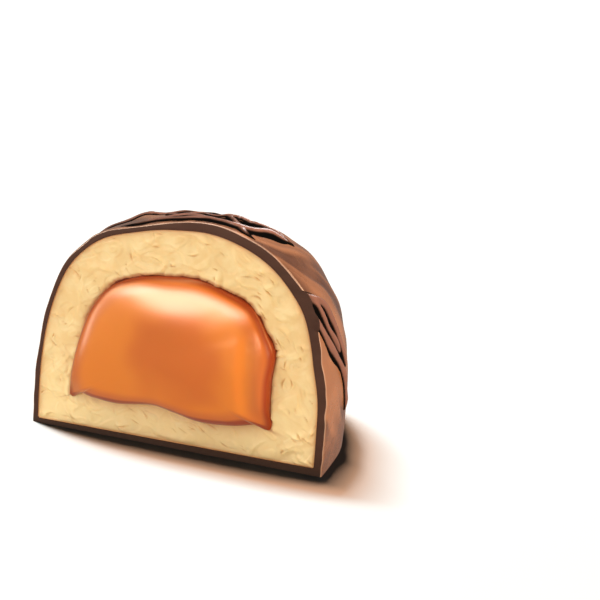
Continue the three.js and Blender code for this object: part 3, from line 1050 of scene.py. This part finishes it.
NICKS = marks(7, 240, (0.18, 0.65), (0.05, 0.1), (0.06, 0.22), -35)
SWIPES = marks(19, 170, (0.5, 1.6), (0.1, 0.3), (0.04, 0.13), -25)
NICK_RAISED, SWIPE_RAISED = 0.55, 1.3
print(len(NICKS), "nicks and", len(SWIPES), "swipes")

# %% [markdown]
# ## Cream: its edges
# The cream is one closed ball pushed in like a bowl. Its rings run from the back over the outside to
# the cut, across the torn face, over the lip and along the pocket's wall to its end. The face lies
# between two edges: the rim, which follows the coating, and the lip, a ragged line round the caramel.

# %% The cream's rim and lip
WALL_RINGS, FACE_RINGS, POCKET_RINGS = 10, 105, 32
CREAM_RINGS = WALL_RINGS + FACE_RINGS + POCKET_RINGS
CREAM_GAP = 0.02
LIP_OUT, LIP_RAGGED, OVER_TOP = 0.1, 0.4, (8.0, 15.5)

polar = np.arctan2(edge_line[:, 1] - CREAM_MIDDLE[2], edge_line[:, 0] - CREAM_MIDDLE[0])
polar = softened(np.unwrap(polar), gain=-2 * np.pi)
rim = room_places(polar, np.full(SEGMENTS, np.pi / 2), CREAM_GAP)[:, [0, 2]]

over_top = smooth_step(edge_line[:, 1], *OVER_TOP)
along_edge = np.cumsum(np.linalg.norm(edge_run, axis=1)) / 2
ragged = 0.13 * along_noise(51, along_edge, 0.9) + 0.07 * along_noise(52, along_edge, 0.4)
widen = LIP_OUT + (LIP_RAGGED + LIP_RAGGED * over_top) * ragged
lip = edge_line + edge_out * widen[:, None]
print("the lip's edge is ragged by", np.ptp(widen).round(2), "mm")

# %% [markdown]
# ## Cream: shaping it
# Wall, face and pocket are three runs of rings, and each has its own way to its places. The relief
# fades out at the rim, so the cream meets the coating cleanly, and both edges are rolled in a little.

# %% Shape the cream
LIP_ROLL, LIP_ROLL_REACH, RIM_ROLL, RIM_ROLL_REACH = 0.18, 0.2, 0.1, 0.16
TORN_FROM_RIM = (0, 0.5)
POCKET_START, POCKET_EXTRA = 0.25, 0.4

cream, segment, ring = ball_of("cream_filling", SEGMENTS, CREAM_RINGS)
places = np.zeros((len(ring), 3))

on_wall = ring <= WALL_RINGS
tilt = ring[on_wall] / WALL_RINGS * np.pi / 2
places[on_wall] = room_places(polar[segment[on_wall]], tilt, CREAM_GAP)

on_face = (ring > WALL_RINGS) & (ring <= WALL_RINGS + FACE_RINGS)
facing = segment[on_face]
share = (ring[on_face] - WALL_RINGS) / FACE_RINGS
x, z = (rim[facing] * (1 - share)[:, None] + lip[facing] * share[:, None]).T
from_rim = share * np.hypot(*(rim[facing] - lip[facing]).T)
from_lip = (1 - share) / np.maximum(share, 1e-6) * from_rim
tears = strokes(x, z, NICKS, NICK_RAISED)
relief = -torn(x, z) - tears - strokes(x, z, SWIPES, SWIPE_RAISED)
rolled = LIP_ROLL * np.exp(-from_lip / LIP_ROLL_REACH) + RIM_ROLL * np.exp(-from_rim / RIM_ROLL_REACH)
depth = relief * smooth_step(from_rim, *TORN_FROM_RIM) + rolled
places[on_face] = np.stack([x, depth, z], axis=-1)

on_pocket = ring > WALL_RINGS + FACE_RINGS
turn_in = (ring[on_pocket] - WALL_RINGS - FACE_RINGS) / POCKET_RINGS * np.pi / 2
x, z = outline_at(segment[on_pocket], np.abs(np.cos(turn_in)) ** BOWL_POWER,
                  widen[segment[on_pocket]]).T
inward = POCKET_START + (CARAMEL_DEPTH + POCKET_EXTRA) * np.sin(turn_in) ** BOWL_POWER
places[on_pocket] = np.stack([x, inward, z], axis=-1)
write_places(cream, in_scene(places))

# %% [markdown]
# ## Cream: marking its neighbours
# Four marks tell the finish where it paints shade: along the rim against the coating, in the nicks by
# how deep they are, over the lip and in the pocket, and as a shadow below the caramel's foot.

# %% Mark the cream
LIP_SHADE_REACH, SHADOW_BELOW_REACH, RIM_SHADE_REACH, DEEP_PIT = 0.45, 1.25, 0.3, 0.12
BELOW = (0.2, 0.8)


def on_the_face(values, wall=0.0, pocket=0.0):
    """Values for the face's vertices, and one number each for the wall and the pocket."""
    every = np.where(on_wall, wall, pocket)
    every[on_face] = values
    return every


# Painted shade over the lip, strongest over the top.
lip_and_pocket_shade = np.exp(-((from_lip / LIP_SHADE_REACH) ** 2)) * (0.4 + 0.6 * over_top[facing])
# A painted shadow on the cream below the caramel's foot.
shadow_below = np.exp(-((from_lip / SHADOW_BELOW_REACH) ** 1.5)) * smooth_step(-edge_out[facing, 1], *BELOW)
# Painted shade along the rim, where the cream meets the coating.
mark(cream, "near_coating", on_the_face(np.exp(-from_rim / RIM_SHADE_REACH), wall=1.0))
# Painted shade in the nicks, darker where they are deeper.
mark(cream, "pits", on_the_face(np.clip(-tears / DEEP_PIT, 0, 1)))
mark(cream, "in_pocket", on_the_face(lip_and_pocket_shade, pocket=1.0))
mark(cream, "caramel_shadow", on_the_face(shadow_below))
merge_doubles(cream)
report(cream)

# %% [markdown]
# ## Milk chocolate's finish
# Tempered milk chocolate is a satin brown with random clouds. Over that, its colour holds painted light
# and shade: the runs that the shape marked on its vertices are painted pale on their crests, as bands
# of light, and dark in their hollows, so the painted bands follow the relief. The knife's chipped edge
# gets a painted highlight line. A low bump adds grain, and a tinted specular keeps the sheen brown, as
# cocoa butter does.

# %% Milk finish
milk_finish = look = Finish("milk_chocolate")
where = look.place()
clouds = look.noise(where, 3.5, detail=3)
# Painted light and shade: the crests of the runs are painted pale as bands of light, and the hollows
# dark.
shade = 0.8 * look.part(look.marked("runs"), 0.3, 0.75) + 0.2 * look.part(clouds, 0.35, 0.68)
brown = look.blend(shade, linear(82, 45, 26), linear(162, 107, 72))
# Painted highlight: a pale line along the chipped edge of the cut.
brown = look.blend(0.8 * look.marked("chipped_edge_highlight"), brown, linear(196, 156, 130))
grain = look.noise(where, 1.4, detail=3) + 0.25 * look.noise(where, 0.35, detail=2)
look.finish(Base_Color=brown, Roughness=0.22 + 0.1 * clouds, Normal=look.bump(grain, 0.00008, 0.5),
            Specular_IOR_Level=1.0, Specular_Tint=(1.0, 0.78, 0.62, 1))

# %% [markdown]
# ## Cut chocolate's finish
# A knife leaves chocolate dull and a little darker. Its drag shows as faint slanted streaks, which are
# noise on a stretched and turned place. Near the floor the band is painted darker, as painted shade.

# %% Cut finish
section_finish = look = Finish("cut_chocolate")
where = look.place()
drag = look.noise(look.stretched(where, (0.35, 1, 1), (0, 0.5, 0)), 0.8, detail=3)
brown = look.blend(drag, linear(68, 42, 31), linear(82, 52, 40))
# Painted shade: the band is darker near the floor.
brown = look.blend(look.part(look.height_of(where), 0.1, 1.4), linear(66, 46, 36), brown)
look.finish(Base_Color=brown, Roughness=0.55, Normal=look.bump(drag, 0.00006, 0.6),
            Specular_IOR_Level=0.15, Specular_Tint=(1.0, 0.76, 0.6, 1))

# %% [markdown]
# ## Dark chocolate's finish
# Dark chocolate is near black, and the thin film between the strands is kept black, partly as painted
# shade. The "crest" mark drives a painted highlight: the crests are painted brown and get the weight
# of a clear coat, while the valleys stay matte black.

# %% Dark finish
dark_finish = look = Finish("dark_chocolate")
clouds = look.noise(look.place(), 1.5, detail=3)
# Painted highlight: the high crests are painted brown; the near black elsewhere is partly painted
# shade.
crest = look.marked("crest") * (0.7 + 0.6 * clouds)
look.finish(Base_Color=look.blend(crest, linear(10, 9, 8), linear(132, 90, 72)), Roughness=0.5,
            Normal=look.bump(clouds, 0.0001, 0.3), Specular_IOR_Level=0.0,
            Coat_Weight=look.part(crest, 0.3, 1.0), Coat_Roughness=0.24, Coat_IOR=1.6,
            Coat_Tint=(1.0, 0.9, 0.86, 1))

# %% [markdown]
# ## Cream's finish
# The cream is pale and dull, and light sinks a little way into it, which a small subsurface weight
# gives. Its colour is soft patches with painted light and shade over them: a foot painted lighter,
# then painted shade in the nicks, a painted shadow below the caramel, painted shade against the
# coating, and two steps of painted shade over the lip into the pocket.

# %% Cream finish
cream_finish = look = Finish("cream_filling")
where = look.place()
patches = look.part(look.noise(where, 1.6, detail=4), 0.35, 0.65)
tone = look.blend(patches, linear(238, 199, 134), linear(243, 210, 148))
# Painted light: the foot is painted lighter, where the lamps light it less.
tone = look.blend(look.part(look.height_of(where), 1, 10, 0.6, 0.0), tone, linear(255, 224, 160))
# Painted shade: the nicks are painted a darker tan.
tone = look.blend(0.75 * look.marked("pits"), tone, linear(212, 158, 96))
# Painted shadow below the caramel.
tone = look.blend(0.8 * look.marked("caramel_shadow"), tone, linear(182, 120, 68))
# Painted shade along the rim against the coating.
tone = look.blend(0.85 * look.marked("near_coating"), tone, linear(196, 128, 72))
# Painted shade in two steps: brown over the lip, then dark in the pocket.
lip_and_pocket_shade = look.marked("in_pocket") * (0.75 + 0.5 * look.noise(where, 0.6, detail=2))
tone = look.blend(0.85 * look.part(lip_and_pocket_shade, 0.1, 0.7), tone, linear(190, 118, 68))
tone = look.blend(look.part(lip_and_pocket_shade, 0.72, 1.0), tone, linear(134, 64, 36))
crumbs = look.bump(look.noise(where, 0.3, detail=3), 0.00004, 0.4)
look.finish(Base_Color=tone, Roughness=0.6, Normal=crumbs, Specular_IOR_Level=0.3,
            Subsurface_Weight=0.1, Subsurface_Scale=0.0006, Subsurface_Radius=(1.0, 0.6, 0.3))

# %% [markdown]
# ## Caramel's finish
# Caramel is amber that glows from inside. A warm subsurface colour gives the glow, a soft clear coat
# the broad sheen, and slow patches that darken towards the middle keep it from looking painted.
# Towards the rim it is painted darker in two steps, as painted shade along its edge, and its coat
# fades out.

# %% Caramel finish
CARAMEL_HEART = tuple(CUT_ORIGIN + (2, -2, 10.5))

caramel_finish = look = Finish("caramel_core")
where = look.place()
from_heart = look.add("ShaderNodeVectorMath", {"operation": "DISTANCE"}, {0: where, 1: CARAMEL_HEART},
                      out="Value")
patches = 0.5 * look.noise(where, 5.0, detail=1) + 0.5 * look.part(from_heart, 1, 8)
amber = look.blend(look.part(patches, 0.3, 0.75), linear(203, 97, 11), linear(221, 118, 16))
near_rim = look.marked("rim")
# Painted shade: darker in two steps towards the rim, widest along the foot.
amber = look.blend(0.7 * look.part(near_rim, 0.8, 0.95), amber, linear(192, 92, 34))
amber = look.blend(look.part(near_rim, 0.95, 1.0), amber, linear(150, 58, 24))
look.finish(Base_Color=amber, Roughness=0.3, Specular_IOR_Level=0.4,
            Specular_Tint=(1.0, 0.6, 0.2, 1), Coat_Weight=1 - look.marked("matte"),
            Coat_Roughness=0.25, Coat_IOR=1.65, Subsurface_Weight=0.15, Subsurface_Scale=0.0015,
            Subsurface_Radius=(1.0, 0.4, 0.08))

# %% [markdown]
# ## Give the finishes
# Each piece gets its finish and its body, and the CAD part of the node that it stands for is hidden.
# Smooth shading stops at edges sharper than an angle, so the knife's edge stays crisp. Faces that lie
# in the cut get the dull finish of cut chocolate, picked by place and normal.

# %% Give the finishes
SHARP = math.radians(50)
CUT_DEPTH, FACES_FRONT = 0.012, -0.9


def finish_piece(piece, node, finish):
    piece.data.materials.clear()
    piece.data.materials.append(finish.material)
    use(piece)
    bpy.ops.object.shade_smooth_by_angle(angle=SHARP)
    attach(piece, "root")
    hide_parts(node)


def show_section(piece):
    piece.data.materials.append(section_finish.material)
    in_cut = 0
    for face in piece.data.polygons:
        at_cut = face.center.y / MM - CUT_ORIGIN[1] < CUT_DEPTH
        face.material_index = 1 if at_cut and face.normal.y < FACES_FRONT else 0
        in_cut += face.material_index
    print(piece.name, "has", in_cut, "faces in the cut")


finish_piece(milk, "coating", milk_finish)
finish_piece(strands, "coating", dark_finish)
finish_piece(cream, "cream", cream_finish)
finish_piece(caramel, "caramel", caramel_finish)
show_section(milk)
show_section(strands)

# %% [markdown]
# ## Floor
# The floor is one big plane. It is dark, and strong lights of its own make it pale, so the food's
# shadow on it can be as deep as the photograph's. Glossy rays don't see it, or the food would mirror
# a dark floor.

# %% Floor
start_fresh()
bpy.ops.mesh.primitive_plane_add(size=3)
floor = named("floor")
floor.visible_glossy = False
floor_finish = Finish("floor")
floor_finish.finish(Base_Color=(0.05, 0.05, 0.05, 1), Roughness=0.9, Specular_IOR_Level=0.1)
floor.data.materials.append(floor_finish.material)

# %% [markdown]
# ## Soft boxes
# Food is lit by broad lamps, because a small one makes hard glints. Some boxes only make gloss: hidden
# from diffuse rays, they show as the sheen on the caramel and leave the colours alone. The fill box
# does the opposite. Two high boxes, one warm and one cool, light the floor.

# %% Lights
def soft_box(name, place, width, height, power, colour=(1, 1, 1), aim=None):
    """A rectangular light at a place in mm: turned towards aim, or straight down."""
    data = bpy.data.lights.new(name, "AREA")
    data.shape, data.size, data.size_y = "RECTANGLE", width * MM, height * MM
    data.energy, data.color = power, colour
    lamp = bpy.data.objects.new(name, data)
    bpy.context.scene.collection.objects.link(lamp)
    lamp.matrix_world = Matrix.Translation(in_scene(place))
    if aim is not None:
        away = Vector(in_scene(place)) - Vector(in_scene(aim))
        lamp.matrix_world = lamp.matrix_world @ away.to_track_quat("Z", "Y").to_matrix().to_4x4()
    return lamp


AT_FACE = (0, 0, 12)
gloss_boxes = [
    soft_box("strip", (-76, -340, 148), 330, 122, 1.1, (1, 0.95, 0.9), AT_FACE),
    soft_box("strip_left", (-295, -184, 150), 240, 100, 0.9, (1, 0.96, 0.9), AT_FACE),
    soft_box("low_left", (-330, -110, 45), 70, 160, 0.2, (1, 0.9, 0.78), AT_FACE),
]
strand_boxes = [soft_box("back", (20, 340, 150), 260, 60, 0.45, aim=(0, 6, 18))]
fill_boxes = [soft_box("fill", (-60, -340, 15), 300, 200, 0.77, aim=AT_FACE)]
food_boxes = [
    soft_box("overhead", (-60, 35, 320), 180, 140, 0.65),
    soft_box("upper_left", (-130, -110, 290), 100, 100, 0.32, aim=AT_FACE),
    soft_box("right", (330, 20, 160), 90, 240, 1.8, (1, 0.81, 0.62), (0, 6, 10)),
]
caramel_boxes = [soft_box("side", (260, -220, 60), 100, 200, 0.15, aim=AT_FACE)]
floor_boxes = [
    soft_box("warm", (-166, 115, 1280), 330, 100, 205, (1, 0.56, 0.34)),
    soft_box("cool", (-486, 218, 1280), 500, 130, 330, (0.6, 0.9, 1)),
]
for box in gloss_boxes + strand_boxes:
    box.visible_diffuse = False
for box in fill_boxes:
    box.visible_glossy = False
print(len(bpy.data.lights), "soft boxes")

# %% [markdown]
# ## Which box lights what
# A studio keeps a lamp off a thing with a black flag. Blender's light linking does the same with
# collections: a lamp lights only its receivers, and only its blockers throw shadows in its light. The
# caramel isn't a blocker for the floor's boxes, because light passes through it.

# %% Light linking
def collection_of(name, pieces):
    collection = bpy.data.collections.new(name)
    bpy.context.scene.collection.children.link(collection)
    for piece in pieces:
        collection.objects.link(piece)
    return collection


shadow_givers = collection_of("shadow_givers", [milk, strands, cream])
for boxes, name, lit in (
        (food_boxes + gloss_boxes + fill_boxes, "food", [milk, strands, cream, caramel]),
        (caramel_boxes, "core", [caramel]),
        (strand_boxes, "drizzle", [strands]),
        (floor_boxes, "ground", [floor])):
    receivers = collection_of(name, lit)
    for box in boxes:
        box.light_linking.receiver_collection = receivers
    print(len(boxes), "boxes light", name)
for box in floor_boxes:
    box.light_linking.blocker_collection = shadow_givers

# %% [markdown]
# ## World
# The world is the pale room around the set. It is bright where the camera sees it, and lights the
# food with a quarter of that, so the soft boxes decide the shading. The Standard view transform shows
# the colours as they were mixed.

# %% World
WORLD_LIGHT, WORLD_SEEN = 0.25, 1.0

world = bpy.data.worlds.new("world")
world.use_nodes = True
air = world.node_tree
background = air.nodes["Background"]
ray_kind = air.nodes.new("ShaderNodeLightPath")
strength = air.nodes.new("ShaderNodeMapRange")
strength.inputs["To Min"].default_value = WORLD_LIGHT
strength.inputs["To Max"].default_value = WORLD_SEEN
air.links.new(ray_kind.outputs["Is Camera Ray"], strength.inputs["Value"])
air.links.new(strength.outputs[0], background.inputs["Strength"])
background.inputs["Color"].default_value = (1, 0.98, 0.95, 1)
bpy.context.scene.world = world
bpy.context.scene.view_settings.view_transform = "Standard"
bpy.context.scene.view_settings.look = "None"

# %% [markdown]
# ## The end
# The last call brings the view layer up to date.

# %% Finish
bpy.context.view_layer.update()
